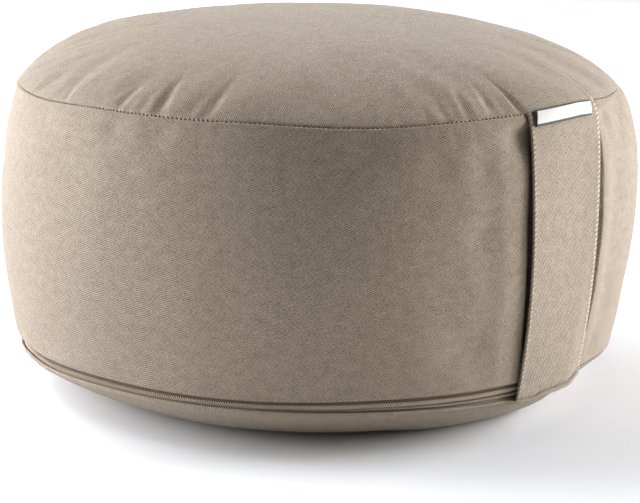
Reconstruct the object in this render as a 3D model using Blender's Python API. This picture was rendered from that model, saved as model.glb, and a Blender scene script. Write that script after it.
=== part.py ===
"""Round meditation cushion (zafu) with a carry strap and a zip in its lower seam.

Metres, +Z up. The origin is the centre of the flat disc that rests on the floor.
A bearing is an angle round the cushion in degrees: 0 faces -Y, where the carry strap is,
and it grows towards +X. A profile point is a pair (distance from the axis, height).
"""

import math

import bmesh
import bpy
from mathutils import Vector

# ---- cushion, sewn from a top panel, a wall band and a base panel ----
COLUMNS = 180
BELLY_RADIUS = 0.1650
TOP_SEAM_RADIUS = 0.1524
TOP_SEAM_HEIGHT = 0.1550
CROWN_RISE = 0.0295
CROWN_ROUND = 2.9
CROWN_SHOULDER = 0.79
BASE_SEAM_RADIUS = 0.1558
BASE_SEAM_HEIGHT = 0.0231
BASE_ROUND = 2.15
FLOOR_DISC_RADIUS = 0.1050
BELLY_ROUND = 1.95
BELLY_LEVEL = 0.425
BELLY_LEAN = 0.070
BELLY_LEAN_BEARING = 45.5

# Rings down each panel, as shares of the way from one seam to the next.
CROWN_RINGS = (0.0, 0.20, 0.38, 0.54, 0.67, 0.77, 0.85, 0.91, 0.955, 0.985)
WALL_RINGS = (0.05, 0.12, 0.22, 0.33, 0.44, 0.55, 0.66, 0.77, 0.87, 0.95)
BASE_RINGS = (0.18, 0.40, 0.66, 1.0)

# How far the sewn shape strays from a true round one, in millimetres, by bearing.
UNEVEN = (
    # bearing, top height, top radius, belly radius, base height, base radius, floor radius
    (-164.5, 6.2, 0.0, -1.5, 0.5, 0.0, 0.0),
    (-134.5, -1.0, 0.0, -2.4, -4.0, -0.5, -3.0),
    (-109.5, 0.2, 0.0, -1.8, -0.6, -1.0, -5.0),
    (-84.5, 2.6, 0.0, -0.2, 1.3, -0.8, -4.0),
    (-59.5, 2.2, 0.0, 0.9, 1.2, 0.0, -1.0),
    (-34.5, -0.2, 0.0, 1.3, 1.7, 0.0, 1.0),
    (-14.5, 0.8, 0.5, 0.5, 1.0, 0.0, 7.0),
    (5.5, 1.6, 1.6, -3.0, 0.2, -1.0, 6.0),
    (25.5, -2.0, 0.4, -1.0, 1.9, -2.5, -1.0),
    (45.5, -4.4, 0.0, -0.2, 2.0, -2.0, -3.0),
    (75.5, -5.6, 0.0, 0.2, -0.2, -1.0, 0.0),
    (135.5, 1.8, 0.0, 1.4, 0.0, 0.0, 0.0),
)
TOP_HEIGHT, TOP_RADIUS, BELLY, BASE_HEIGHT, BASE_RADIUS, FLOOR = range(1, 7)

# Puckers of the top panel. Each trough starts at the top seam and runs inwards.
PUCKERS = (
    # bearing at the seam, bearing at the inner end, length mm, half width mm, depth mm
    (-99.0, -102.5, 27.0, 7.5, 2.2),
    (-83.0, -83.0, 19.0, 6.5, 1.7),
    (-73.8, -74.7, 36.0, 6.5, 3.6),
    (-65.1, -63.5, 23.0, 6.5, 2.5),
    (-21.5, -19.5, 21.0, 7.0, 1.9),
    (-11.9, -10.7, 26.0, 6.5, 2.6),
    (-5.9, -5.6, 28.0, 5.0, 2.4),
    (17.7, 18.4, 21.0, 6.0, 2.1),
    (80.5, 79.5, 26.0, 6.5, 2.4),
    (89.5, 88.5, 19.0, 6.5, 1.7),
    (100.5, 101.5, 34.0, 6.5, 3.3),
    (110.5, 111.5, 21.0, 7.0, 1.9),
    (168.5, 169.0, 24.0, 6.5, 2.3),
    (177.5, 177.5, 18.0, 6.5, 1.6),
    (186.5, 185.5, 35.0, 6.5, 3.4),
    (196.5, 195.5, 22.0, 7.0, 2.0),
)
PUCKER_PEAK = 0.30
PUCKER_PUSH = Vector((-0.50, -0.87))

# Seams: the cloth turns in at each seam and leaves a groove.
TOP_SEAM_TILT = 36.0
BASE_SEAM_TILT = -12.0
SEAM_MOUTH = 0.0018
SEAM_FLOOR = 0.0006
SEAM_DEPTH = 0.0028
LIP_REACH = 10

# ---- zip, set in a recess along the lower seam ----
ZIP_START = -174.0
ZIP_END = -4.0
ZIP_MOUTH = 0.0064
ZIP_DEPTH = 0.0034
ZIP_TAPE_WIDTH = 0.0056
ZIP_TAPE_THICK = 0.0010
ZIP_COIL_WIDTH = 0.0042
ZIP_COIL_THICK = 0.0016

# ---- carry strap, sewn into both seams over the wall ----
STRAP_WIDTH = 0.0520
STRAP_THICK = 0.0024
STRAP_TOP_SKEW = 3.4
STRAP_FOOT_SKEW = 1.1
STRAP_STAND_OFF = 0.0014
STRAP_FLATTER = 0.0011
STRAP_BOW = 0.75
STRAP_RINGS = 26
STRAP_COLUMNS = 10
STRAP_TOP_SINK = 0.0014
STRAP_TOP_LIP = 0.0022
STRAP_FOOT_LIP = 0.0029
LIP_FLAT = 10.5
LIP_FADE = 5.0
WALL_DENT = 0.0070
DENT_FLAT = 8.5
DENT_FADE = 6.0

# ---- label, sewn in over the top of the strap ----
LABEL_WIDTH = 0.0420
LABEL_DROP = 0.0066
LABEL_THICK = 0.0010
LABEL_RINGS = 4
LABEL_COLUMNS = 8

CLEARANCE = 0.0003
MM = 0.001
FULL_TURN = 360.0

TAUPE_TWILL = ((0.330, 0.272, 0.208), 0.92)
TAUPE_STRAP = ((0.365, 0.305, 0.238), 0.90)
ZIP_CLOTH = ((0.215, 0.175, 0.135), 0.90)
ZIP_NYLON = ((0.360, 0.300, 0.235), 0.45)
LABEL_CLOTH = ((0.780, 0.770, 0.730), 0.75)


def direction(bearing):
    """Unit vector in plan that points along a bearing."""
    angle = math.radians(bearing)
    return Vector((math.sin(angle), -math.cos(angle), 0.0))


def place(bearing, point):
    """World position of a profile point on a bearing."""
    radius, height = point
    return direction(bearing) * radius + Vector((0.0, 0.0, height))


def bearing_gap(first, second):
    """Smallest turn from the second bearing to the first, in degrees."""
    half_turn = FULL_TURN / 2.0
    return (first - second + half_turn) % FULL_TURN - half_turn


def ease(share):
    """Smooth step from 0 to 1."""
    share = min(max(share, 0.0), 1.0)
    return share * share * (3.0 - 2.0 * share)


def window(bearing, middle, flat, fade):
    """1 within `flat` degrees of a middle bearing, easing to 0 over `fade` degrees."""
    beyond = abs(bearing_gap(bearing, middle)) - flat
    return 1.0 - ease(beyond / fade)


def uneven(bearing, column):
    """One column of UNEVEN, eased between its rows all the way round, in metres."""
    rows = UNEVEN + ((UNEVEN[0][0] + FULL_TURN,) + UNEVEN[0][1:],)
    turned = (bearing - rows[0][0]) % FULL_TURN + rows[0][0]
    for before, after in zip(rows, rows[1:]):
        if turned <= after[0]:
            share = ease((turned - before[0]) / (after[0] - before[0]))
            return (before[column] + (after[column] - before[column]) * share) * MM
    return rows[-1][column] * MM


def top_seam_line(bearing):
    """Profile point on the line of the top seam."""
    radius = TOP_SEAM_RADIUS + uneven(bearing, TOP_RADIUS)
    return Vector((radius, TOP_SEAM_HEIGHT + uneven(bearing, TOP_HEIGHT)))


def base_seam_line(bearing):
    """Profile point on the middle line of the zip's recess."""
    radius = BASE_SEAM_RADIUS + uneven(bearing, BASE_RADIUS)
    return Vector((radius, BASE_SEAM_HEIGHT + uneven(bearing, BASE_HEIGHT)))


def in_zip(bearing):
    """True where the zip's recess replaces the plain lower seam."""
    turned = bearing_gap(bearing, (ZIP_START + ZIP_END) / 2.0)
    return abs(turned) <= (ZIP_END - ZIP_START) / 2.0 + FULL_TURN / COLUMNS


def seam_axes(tilt):
    """Outward normal of the skin at a seam, and the way down along the skin."""
    angle = math.radians(tilt)
    normal = Vector((math.cos(angle), math.sin(angle)))
    down = Vector((math.sin(angle), -math.cos(angle)))
    return normal, down


def top_seam(bearing):
    """Upper lip, two floor points and lower lip of the top seam's groove."""
    normal, down = seam_axes(TOP_SEAM_TILT)
    centre = top_seam_line(bearing)
    at_strap = window(bearing, STRAP_TOP_SKEW, LIP_FLAT, LIP_FADE)
    return (
        centre - down * SEAM_MOUTH / 2 + normal * STRAP_TOP_LIP * at_strap,
        centre - down * SEAM_FLOOR / 2 - normal * SEAM_DEPTH,
        centre + down * SEAM_FLOOR / 2 - normal * SEAM_DEPTH,
        centre + down * SEAM_MOUTH / 2 - normal * STRAP_TOP_SINK * at_strap,
    )


def base_seam(bearing):
    """Upper lip, two floor points and lower lip of the lower seam's groove or recess.

    The plain groove runs on from the recess's lower edge.
    """
    normal, down = seam_axes(BASE_SEAM_TILT)
    zipped = in_zip(bearing)
    mouth = ZIP_MOUTH if zipped else SEAM_MOUTH
    floor = ZIP_MOUTH if zipped else SEAM_FLOOR
    depth = ZIP_DEPTH if zipped else SEAM_DEPTH
    centre = base_seam_line(bearing) + down * (ZIP_MOUTH - mouth) / 2
    foot = window(bearing, STRAP_FOOT_SKEW, LIP_FLAT, LIP_FADE)
    return (
        centre - down * mouth / 2,
        centre - down * floor / 2 - normal * depth,
        centre + down * floor / 2 - normal * depth,
        centre + down * mouth / 2 + normal * STRAP_FOOT_LIP * foot,
    )


def pucker_depth(bearing, inward):
    """How deep the puckers press in at a distance inwards from the top seam."""
    total = 0.0
    for seam_bearing, inner_bearing, length, half_width, depth in PUCKERS:
        share = inward / (length * MM)
        if share >= 1.0:
            continue
        middle = seam_bearing + (inner_bearing - seam_bearing) * share
        arc = math.radians(bearing_gap(bearing, middle)) * (TOP_SEAM_RADIUS - inward)
        across = math.exp(-((arc / (half_width * MM)) ** 2))
        rising = ease(0.45 + 0.55 * share / PUCKER_PEAK)
        falling = 1.0 - ease((share - PUCKER_PEAK) / (1.0 - PUCKER_PEAK))
        total += depth * MM * across * min(rising, falling)
    return total


def crown_point(bearing, share):
    """Profile point of the top panel, 0 at its centre and 1 at the top seam's upper lip."""
    wave = uneven(bearing, TOP_HEIGHT) * share ** 3
    rise = CROWN_RISE * (1.0 - share ** CROWN_ROUND) ** CROWN_SHOULDER
    seam = top_seam_line(bearing)
    point = Vector((seam.x * share, TOP_SEAM_HEIGHT + wave + rise))
    point += (top_seam(bearing)[0] - seam) * share ** LIP_REACH
    return point + PUCKER_PUSH * pucker_depth(bearing, TOP_SEAM_RADIUS * (1.0 - share))


def bowed(share):
    """0 at either seam and 1 half way down the wall."""
    return math.sin(math.pi * share) ** STRAP_BOW


def plain_wall(bearing, share):
    """Profile point of the bulging wall, before the strap presses it, from seam to seam."""
    lean = math.cos(math.radians(bearing - BELLY_LEAN_BEARING))
    level = BELLY_LEVEL - BELLY_LEAN * lean
    turned = share ** (math.log(0.5) / math.log(level))
    top = top_seam_line(bearing)
    base = base_seam_line(bearing)
    bulge = BELLY_RADIUS + uneven(bearing, BELLY) - (top.x + base.x) / 2.0
    point = top.lerp(base, share)
    point.x += bulge * (1.0 - abs(2.0 * turned - 1.0) ** BELLY_ROUND)
    return point


def strap_middle(share):
    """Bearing of the strap's middle line, from the top seam down to the foot."""
    return STRAP_TOP_SKEW * (1.0 - share) ** 3 + STRAP_FOOT_SKEW * share ** 2


def wall_point(bearing, share):
    """Profile point of the wall band, with its lips and the dent behind the strap."""
    to_top_lip = top_seam(bearing)[3] - top_seam_line(bearing)
    to_base_lip = base_seam(bearing)[0] - base_seam_line(bearing)
    point = plain_wall(bearing, share)
    point += to_top_lip * (1.0 - share) ** LIP_REACH + to_base_lip * share ** LIP_REACH
    pressed = window(bearing, strap_middle(share), DENT_FLAT, DENT_FADE) * bowed(share)
    point.x -= WALL_DENT * pressed
    return point


def base_point(bearing, share):
    """Profile point of the base panel, from the lower lip to the floor disc's rim."""
    _, down = seam_axes(BASE_SEAM_TILT)
    edge = base_seam_line(bearing) + down * ZIP_MOUTH / 2
    to_lip = base_seam(bearing)[3] - edge
    angle = share * math.pi / 2.0
    disc = FLOOR_DISC_RADIUS + uneven(bearing, FLOOR)
    radius = disc + (edge.x - disc) * math.cos(angle)
    height = edge.y * (1.0 - math.sin(angle) ** BASE_ROUND)
    return Vector((radius, height)) + to_lip * (1.0 - share) ** LIP_REACH


def cushion_profile(bearing):
    """All profile points of the cushion on one bearing, from crown centre to floor disc."""
    points = [crown_point(bearing, share) for share in CROWN_RINGS]
    points += top_seam(bearing)
    points[-4] += PUCKER_PUSH * pucker_depth(bearing, 0.0)
    points += [wall_point(bearing, share) for share in WALL_RINGS]
    points += base_seam(bearing)
    points += [base_point(bearing, share) for share in BASE_RINGS]
    return points


def spin_profile(profile, start, end, steps):
    """Spin a profile's edges about Z and set every ring on its own uneven path."""
    bm = bmesh.new()
    row_layer = bm.verts.layers.int.new("row")
    first = profile(start)
    closed_profile = first[0] == first[-1]
    verts = []
    for row, point in enumerate(first[:-1] if closed_profile else first):
        vert = bm.verts.new(place(start, point))
        vert[row_layer] = row
        verts.append(vert)
    pairs = list(zip(verts, verts[1:]))
    if closed_profile:
        pairs.append((verts[-1], verts[0]))
    edges = [bm.edges.new(pair) for pair in pairs]
    full_circle = abs(end - start) >= FULL_TURN
    bmesh.ops.spin(
        bm,
        geom=verts + edges,
        cent=(0.0, 0.0, 0.0),
        axis=(0.0, 0.0, 1.0),
        angle=math.radians(end - start),
        steps=steps,
        use_merge=full_circle,
    )
    step = (end - start) / steps
    profiles = {}
    for vert in bm.verts:
        row = vert[row_layer]
        if first[row][0] == 0.0:
            continue
        turned = math.degrees(math.atan2(vert.co.x, -vert.co.y)) - start
        column = round((turned % FULL_TURN) / step)
        if column > steps:
            column = 0
        if column not in profiles:
            profiles[column] = profile(start + column * step)
        vert.co = place(start + column * step, profiles[column][row])
    bmesh.ops.remove_doubles(bm, verts=bm.verts, dist=CLEARANCE / 30.0)
    bmesh.ops.holes_fill(bm, edges=bm.edges, sides=0)
    return bm


def zip_section(bearing, width, thick, lift, points):
    """Closed cross-section of a zip strip on the recess floor, `lift` above it."""
    normal, down = seam_axes(BASE_SEAM_TILT)
    centre = base_seam_line(bearing) - normal * (ZIP_DEPTH - lift)
    return [centre + down * width * along + normal * thick * out for along, out in points]


def tape_profile(bearing):
    """Rectangle section of the zip tape."""
    corners = ((-0.5, 0.0), (0.5, 0.0), (0.5, 1.0), (-0.5, 1.0), (-0.5, 0.0))
    return zip_section(bearing, ZIP_TAPE_WIDTH, ZIP_TAPE_THICK, CLEARANCE, corners)


def coil_profile(bearing):
    """Low six-sided section of the closed row of coils, on top of the tape."""
    corners = ((-0.5, 0.0), (0.5, 0.0), (0.5, 0.55), (0.25, 1.0), (-0.25, 1.0), (-0.5, 0.55))
    lift = CLEARANCE * 2 + ZIP_TAPE_THICK
    return zip_section(bearing, ZIP_COIL_WIDTH, ZIP_COIL_THICK, lift, corners + corners[:1])


def strap_point(across, share, lift):
    """Point of the carry strap, `lift` outside its inner face.

    `across` runs from -1 to 1 over the width, `share` from the top seam down to the foot.
    """
    middle = strap_middle(share)
    turn = math.asin(across * STRAP_WIDTH / 2 / TOP_SEAM_RADIUS)
    bearing = middle + math.degrees(turn)
    top_normal, _ = seam_axes(TOP_SEAM_TILT)
    foot_normal, foot_down = seam_axes(BASE_SEAM_TILT)
    to_top = -top_normal * (STRAP_TOP_SINK - CLEARANCE)
    to_foot = foot_normal * CLEARANCE + foot_down * (ZIP_MOUTH - SEAM_MOUTH) / 2
    point = plain_wall(bearing, share)
    point += to_top * (1.0 - share) ** LIP_REACH + to_foot * share ** LIP_REACH
    point.x += (STRAP_STAND_OFF + STRAP_FLATTER * across * across) * bowed(share)
    outward, _ = seam_axes(TOP_SEAM_TILT + (BASE_SEAM_TILT - TOP_SEAM_TILT) * share)
    point += outward * lift
    side = direction(middle + FULL_TURN / 4) * across * STRAP_WIDTH / 2
    return place(middle, (point.x * math.cos(turn), point.y)) + side


def band(columns, rings, point_at, thick):
    """Closed cloth band: a flat grid laid on its inner face, and extruded to its outer one."""
    bm = bmesh.new()
    bmesh.ops.create_grid(bm, x_segments=columns, y_segments=rings, size=1.0)
    lifts = {vert: 0.0 for vert in bm.verts}
    outer = bmesh.ops.extrude_face_region(bm, geom=bm.faces[:], use_keep_orig=True)
    for item in outer["geom"]:
        if isinstance(item, bmesh.types.BMVert):
            lifts[item] = thick
    for vert, lift in lifts.items():
        vert.co = point_at(vert.co.x, (1.0 - vert.co.y) / 2.0, lift)
    return bm


def label_point(across, share, lift):
    """Point of the label, which lies on the strap's outer face below the top seam."""
    down = share * LABEL_DROP / (TOP_SEAM_HEIGHT - BASE_SEAM_HEIGHT)
    narrower = across * LABEL_WIDTH / STRAP_WIDTH
    return strap_point(narrower, down, STRAP_THICK + CLEARANCE + lift)


def material(name, finish):
    """Principled material of one colour and roughness."""
    colour, roughness = finish
    made = bpy.data.materials.new(name)
    made.use_nodes = True
    shader = made.node_tree.nodes["Principled BSDF"]
    shader.inputs["Base Color"].default_value = (*colour, 1.0)
    shader.inputs["Roughness"].default_value = roughness
    shader.inputs["Metallic"].default_value = 0.0
    made.diffuse_color = (*colour, 1.0)
    return made


def finish_piece(bm, name, finish, crease):
    """Turn a mesh under construction into a named, shaded piece."""
    bmesh.ops.recalc_face_normals(bm, faces=bm.faces)
    mesh = bpy.data.meshes.new(name)
    bm.to_mesh(mesh)
    bm.free()
    mesh.shade_smooth()
    mesh.set_sharp_from_angle(angle=math.radians(crease))
    mesh.materials.append(material(name + "_cloth", finish))
    piece = bpy.data.objects.new(name, mesh)
    bpy.context.scene.collection.objects.link(piece)
    return piece


def build_cushion():
    """The filled cushion: crown, bulging wall and base, with grooves at its seams."""
    bm = spin_profile(cushion_profile, 0.0, FULL_TURN, COLUMNS)
    return finish_piece(bm, "cushion", TAUPE_TWILL, 50.0)


def build_zip():
    """The zip's tape on the recess floor and the closed coil on the tape."""
    steps = round((ZIP_END - ZIP_START) * COLUMNS / FULL_TURN)
    tape = spin_profile(tape_profile, ZIP_START, ZIP_END, steps)
    coil = spin_profile(coil_profile, ZIP_START, ZIP_END, steps)
    finish_piece(tape, "zip_tape", ZIP_CLOTH, 40.0)
    finish_piece(coil, "zip_coil", ZIP_NYLON, 40.0)


def build_strap():
    """The wide carry strap, which stands off the wall as a hand loop."""
    bm = band(STRAP_COLUMNS, STRAP_RINGS, strap_point, STRAP_THICK)
    return finish_piece(bm, "carry_strap", TAUPE_STRAP, 40.0)


def build_label():
    """The bare label over the strap's top end."""
    bm = band(LABEL_COLUMNS, LABEL_RINGS, label_point, LABEL_THICK)
    return finish_piece(bm, "label", LABEL_CLOTH, 40.0)


for old in list(bpy.data.objects):
    bpy.data.objects.remove(old, do_unlink=True)

build_cushion()
build_zip()
build_strap()
build_label()
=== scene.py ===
"""Looks of a round meditation cushion: its sewn twill cover, carry strap, label and zip.

Metres, +Z up. A bearing is an angle round the cushion in degrees: 0 faces -Y, where the carry
strap is, and it grows towards +X. A profile point is a pair (distance from the axis, height).
"""

import math

import bpy
import numpy as np
from mathutils import Matrix


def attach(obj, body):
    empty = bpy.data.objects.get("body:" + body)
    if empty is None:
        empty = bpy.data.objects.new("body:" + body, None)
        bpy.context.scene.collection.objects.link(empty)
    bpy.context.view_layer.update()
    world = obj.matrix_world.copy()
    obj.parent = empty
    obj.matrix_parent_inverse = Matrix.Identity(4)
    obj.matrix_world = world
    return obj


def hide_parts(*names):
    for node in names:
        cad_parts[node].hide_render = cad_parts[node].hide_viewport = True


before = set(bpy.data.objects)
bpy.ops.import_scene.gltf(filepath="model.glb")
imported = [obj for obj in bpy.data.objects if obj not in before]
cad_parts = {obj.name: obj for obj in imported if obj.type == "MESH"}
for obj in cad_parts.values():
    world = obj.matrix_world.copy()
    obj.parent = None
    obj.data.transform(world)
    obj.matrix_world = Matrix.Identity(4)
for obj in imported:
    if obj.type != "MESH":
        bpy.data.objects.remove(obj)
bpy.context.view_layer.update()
bpy.ops.object.select_all(action="DESELECT")

# ---- Camera ----
# A long lens a little over a metre away, looking slightly down at the cushion from in front of
# its zip, with the carry strap at the right.
CAMERA_BEARING = -44.5
CAMERA_DISTANCE = 1.1203
CAMERA_SIDESTEP = 0.0011
CAMERA_HEIGHT = 0.3397
CAMERA_PITCH = 13.97
CAMERA_LENS = 124.18


def direction(bearing):
    """Unit vectors in plan that point along bearings."""
    angle = np.radians(bearing)
    return np.stack([np.sin(angle), -np.cos(angle), np.zeros_like(angle)], axis=-1)


eye = direction(CAMERA_BEARING) * CAMERA_DISTANCE
eye += direction(CAMERA_BEARING + 90.0) * CAMERA_SIDESTEP
eye[2] = CAMERA_HEIGHT
bpy.ops.object.camera_add(
    location=tuple(eye),
    rotation=(math.radians(90.0 - CAMERA_PITCH), 0.0, math.radians(CAMERA_BEARING)),
)
camera = bpy.context.object
camera.data.lens = CAMERA_LENS
bpy.context.scene.camera = camera

# ---- Studio ----
# A pale seamless floor under soft boxes: strong ones on both sides, level with the cushion, one
# above the left side, and weak ones behind, overhead and in front. The strong ones are cooler.
FLOOR_SIZE = 14.0
FLOOR_COLOUR = (0.87, 0.87, 0.87, 1.0)
FLOOR_ROUGHNESS = 0.9
ROOM_COLOUR = (1.0, 1.0, 1.0, 1.0)
ROOM_GLOW = 0.012
AIM_HEIGHT = 0.1
COOL = (0.96, 1.0, 1.10)
COOLISH = (0.98, 1.0, 1.04)
WARM = (1.06, 1.0, 0.84)
SOFTBOXES = (
    # name, bearing from the camera, distance, height, width, length, watts, colour
    ("left_box", -105.0, 1.6, 0.45, 1.2, 1.0, 32.0, COOL),
    ("left_front_box", -85.0, 1.6, 0.45, 1.2, 1.0, 21.0, COOLISH),
    ("left_rear_box", -150.0, 1.6, 0.45, 1.2, 1.0, 16.0, COOL),
    ("left_upper_box", -115.0, 1.2, 1.3, 1.2, 1.2, 25.0, COOLISH),
    ("right_box", 104.0, 1.6, 0.45, 1.2, 1.0, 56.0, COOL),
    ("right_front_box", 82.0, 1.6, 0.45, 1.2, 1.0, 11.0, WARM),
    ("rear_box", -145.0, 1.5, 1.4, 2.0, 1.2, 6.0, WARM),
    ("overhead_box", 180.0, 0.2, 2.0, 0.8, 0.8, 1.4, WARM),
    ("front_box", 0.0, 1.2, 1.8, 2.0, 1.2, 1.2, WARM),
)

bpy.ops.mesh.primitive_plane_add(size=FLOOR_SIZE, location=(0.0, 0.0, 0.0))
floor = bpy.context.object
floor.name = "floor"
floor_paint = bpy.data.materials.new("floor_paint")
floor_paint.use_nodes = True
floor_shader = floor_paint.node_tree.nodes["Principled BSDF"]
floor_shader.inputs["Base Color"].default_value = FLOOR_COLOUR
floor_shader.inputs["Roughness"].default_value = FLOOR_ROUGHNESS
floor.data.materials.append(floor_paint)

for box_name, turn, distance, height, width, length, watts, colour in SOFTBOXES:
    lamp = bpy.data.lights.new(box_name, "AREA")
    lamp.shape = "RECTANGLE"
    lamp.size = width
    lamp.size_y = length
    lamp.energy = watts
    lamp.color = colour
    softbox = bpy.data.objects.new(box_name, lamp)
    bpy.context.scene.collection.objects.link(softbox)
    bearing = CAMERA_BEARING + turn
    softbox.location = tuple(direction(bearing) * distance + np.array([0.0, 0.0, height]))
    tilt = math.atan2(distance, height - AIM_HEIGHT)
    softbox.rotation_euler = (tilt, 0.0, math.radians(bearing))

room = bpy.data.worlds.new("room")
bpy.context.scene.world = room
room.use_nodes = True
room_light = room.node_tree.nodes["Background"]
room_light.inputs["Color"].default_value = ROOM_COLOUR
room_light.inputs["Strength"].default_value = ROOM_GLOW
bpy.context.scene.view_settings.view_transform = "Standard"

# ---- Cover ----
# The filled cushion: a round top panel, a wall band and a round base panel of taupe cotton
# twill, sewn edge to edge, turned and filled tight with husks. The top is eased into its seam,
# which leaves puckers, and the wall bulges between its seams.
MM = 0.001
FULL_TURN = 360.0

# The sewn form in section: crown, top seam, bulging wall, lower seam, base and floor disc.
BELLY_RADIUS = 0.1650
TOP_SEAM_RADIUS = 0.1524
TOP_SEAM_HEIGHT = 0.1550
TOP_SEAM_TILT = 36.0
CROWN_RISE = 0.0295
CROWN_ROUND = 2.9
CROWN_SHOULDER = 0.79
BASE_SEAM_RADIUS = 0.1558
BASE_SEAM_HEIGHT = 0.0231
BASE_SEAM_TILT = -12.0
BASE_ROUND = 2.15
FLOOR_DISC_RADIUS = 0.1050
BELLY_ROUND = 1.95
BELLY_LEVEL = 0.425
BELLY_LEAN = 0.070
BELLY_LEAN_BEARING = 45.5
ZIP_START = -174.0
ZIP_END = -4.0
ZIP_MOUTH = 0.0064
UNEVEN_INWARD = 3

# The carry strap's line down the wall, and the lips of cloth that its two ends push out.
STRAP_TOP_SKEW = 4.0
STRAP_TOP_BEND = 5
STRAP_FOOT_SKEW = 2.1
STRAP_FOOT_BEND = 1.3
STRAP_SWAY = 0.30
STRAP_BOW = 0.75
STRAP_TOP_SINK = 0.0010
STRAP_TOP_LIP = 0.0015
TOP_LIP_FLAT = 8.7
TOP_LIP_FADE = 2.6
STRAP_FOOT_LIP = 0.0024
FOOT_LIP_FLAT = 9.0
FOOT_LIP_FADE = 3.2
LIP_REACH = 10

# The dent that the strap presses into the wall, and the ridge of cloth beside it.
WALL_DENT = 0.0070
DENT_LEFT = 9.7
DENT_LEFT_FADE = 3.2
DENT_RIGHT = 9.85
DENT_RIGHT_FADE = 0.65
RIDGE = 0.0035
RIDGE_AT = 10.4
RIDGE_WIDTH = 4.2

# How far the sewn shape strays from a true round one, in millimetres, by bearing.
UNEVEN = np.array((
    # bearing, top height, top radius, belly radius, base height, base radius, floor radius
    (-164.5, 6.2, 0.0, -1.5, 0.5, 0.0, 0.0),
    (-134.5, -1.0, 0.0, -2.4, -4.0, -0.5, -3.0),
    (-109.5, 0.2, 0.0, -1.8, -0.6, -1.0, -5.0),
    (-84.5, 2.6, 0.0, -0.2, 1.3, -0.8, -4.0),
    (-59.5, 2.2, 0.0, 0.9, 1.2, 0.0, -1.0),
    (-34.5, -0.2, 0.0, 1.3, 1.7, 0.0, 1.0),
    (-14.5, 0.8, 0.5, 0.5, 1.0, 0.0, 10.5),
    (5.5, 1.6, 1.6, -3.0, 0.2, -1.0, 14.0),
    (12.5, 0.6, 1.3, -2.4, 1.9, -4.0, 11.7),
    (25.5, -2.0, 0.4, -1.0, 1.9, -2.5, 6.0),
    (45.5, -4.4, 0.0, -0.2, 2.0, -2.0, -3.0),
    (75.5, -5.6, 0.0, 0.2, -0.2, -1.0, 0.0),
    (135.5, 1.8, 0.0, 1.4, 0.0, 0.0, 0.0),
    (195.5, 6.2, 0.0, -1.5, 0.5, 0.0, 0.0),
))
TOP_HEIGHT, TOP_RADIUS, BELLY, BASE_HEIGHT, BASE_RADIUS, FLOOR = range(1, 7)

# Puckers of the top panel. Each trough starts at the top seam and runs inwards, and is often
# steeper on one side.
PUCKERS = (
    # bearing at the seam, bearing at the inner end, length mm, left width, right width, depth mm
    (-111.5, -118.5, 23.0, 3.0, 2.6, 0.3),
    (-96.2, -101.6, 25.0, 2.8, 2.7, 0.6),
    (-82.0, -81.2, 24.0, 2.8, 2.4, 0.6),
    (-77.0, -77.0, 18.0, 2.5, 2.4, 0.4),
    (-73.1, -74.7, 36.0, 3.0, 3.0, 1.2),
    (-67.3, -66.0, 15.0, 4.2, 3.2, 0.4),
    (-64.0, -61.6, 36.0, 3.2, 2.6, 0.85),
    (-25.1, -25.6, 17.0, 2.3, 2.3, 0.35),
    (-21.9, -22.3, 21.0, 2.5, 2.3, 0.45),
    (-17.7, -16.7, 25.0, 2.4, 2.8, 0.7),
    (-12.8, -11.2, 29.0, 2.4, 2.8, 0.8),
    (-7.0, -7.1, 30.0, 1.5, 1.7, 0.72),
    (13.9, 16.4, 19.0, 2.2, 2.6, 0.5),
    (44.0, 43.0, 20.0, 2.6, 2.2, 0.7),
    (80.5, 79.5, 26.0, 2.8, 2.3, 1.1),
    (89.5, 88.5, 19.0, 2.4, 2.1, 0.7),
    (100.5, 101.5, 34.0, 2.8, 2.5, 1.6),
    (110.5, 111.5, 21.0, 2.6, 2.3, 0.8),
    (141.0, 140.0, 18.0, 2.3, 2.1, 0.6),
    (168.5, 169.0, 24.0, 2.8, 2.4, 1.1),
    (177.5, 177.5, 18.0, 2.4, 2.2, 0.7),
    (186.5, 185.5, 35.0, 2.9, 2.5, 1.6),
    (196.5, 195.5, 22.0, 2.6, 2.3, 0.9),
    (216.0, 217.0, 20.0, 2.4, 2.2, 0.7),
)
PUCKER_START = 0.45
PUCKER_PEAK = 0.24
PUCKER_FALL = 1.6
PUCKER_TAPER = 0.45
PUCKER_PUSH = np.array((-0.50, -0.87))
SHOULDER = 0.18
SHOULDER_OUT = 1.6
SHOULDER_SPREAD = 0.65

# Soft dips of the wall just under the seam, on either side of the strap.
DIPS = (
    # bearing, half width in degrees, depth mm
    (-8.0, 3.4, 3.0),
    (15.2, 2.4, 1.8),
)
DIP_SHARE = 0.07
DIP_DROP = 0.060
DIP_START = 0.015
DIP_RISE = 0.04

# Fine gathers beside each seam, where the needle has drawn the cloth in.
GATHERS = 150
GATHER_STRAY = 1.0
GATHER_LENGTH = (5.0, 13.0)
GATHER_WIDTH = (1.8, 3.4)
GATHER_DEPTH = (0.08, 0.34)

# Slow swells of the filling under the cloth.
SWELL = 0.00030
SWELL_WAVES = 26
SWELL_LENGTH = (0.030, 0.110)
SWELL_FROM_SEAM = 0.03

# The seed of each panel's gathers and swells.
CROWN_GATHERS, CROWN_SWELLS, WALL_TOP_GATHERS = 1, 2, 3
WALL_FOOT_GATHERS, WALL_SWELLS, BASE_GATHERS = 4, 5, 6

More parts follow.
